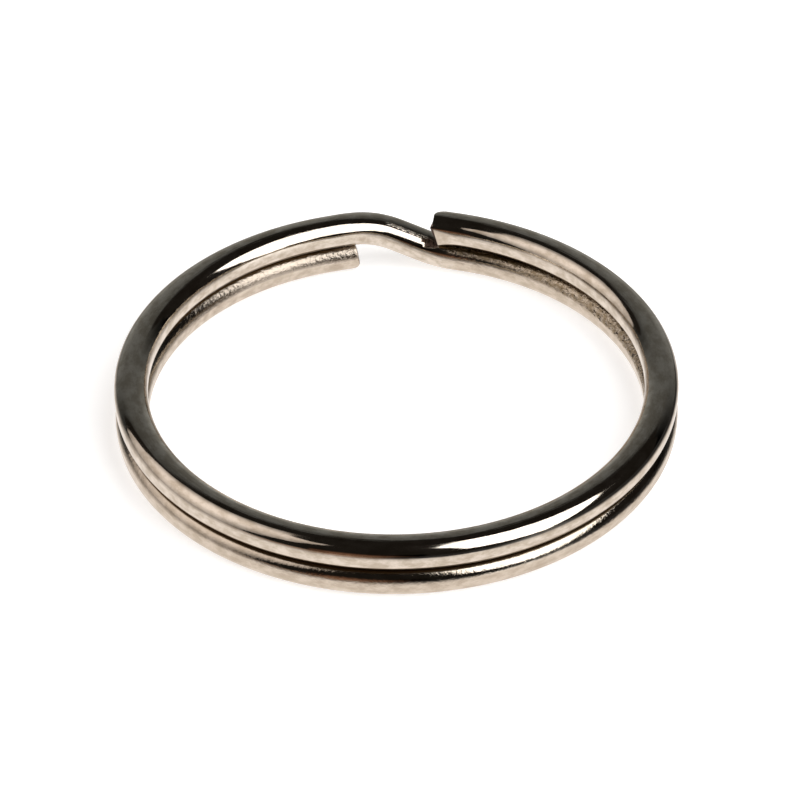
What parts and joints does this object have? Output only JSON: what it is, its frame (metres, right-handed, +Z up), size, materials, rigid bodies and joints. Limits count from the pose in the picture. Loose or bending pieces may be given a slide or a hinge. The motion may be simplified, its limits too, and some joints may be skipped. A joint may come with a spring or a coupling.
{
  "type": "split ring",
  "caption": "Flat key ring of flattened nickel-plated spring wire, wound twice with a stepped crossover; keys and hooks are worked in between the turns.",
  "frame": {"origin": "middle of the ring, on the surface that it lies on", "axes": "+Z up, square to the ring; +Y from the middle of the ring to the middle of the crossover; the wire climbs anticlockwise seen from above"},
  "size_m": [0.03, 0.0299, 0.0032],
  "materials": {
    "nickel_plate": "bright nickel plate over spring steel, with fine pits and drawing marks"
  },
  "bodies": {
    "root": {"split_ring": "nickel_plate"}
  },
  "joints": []
}
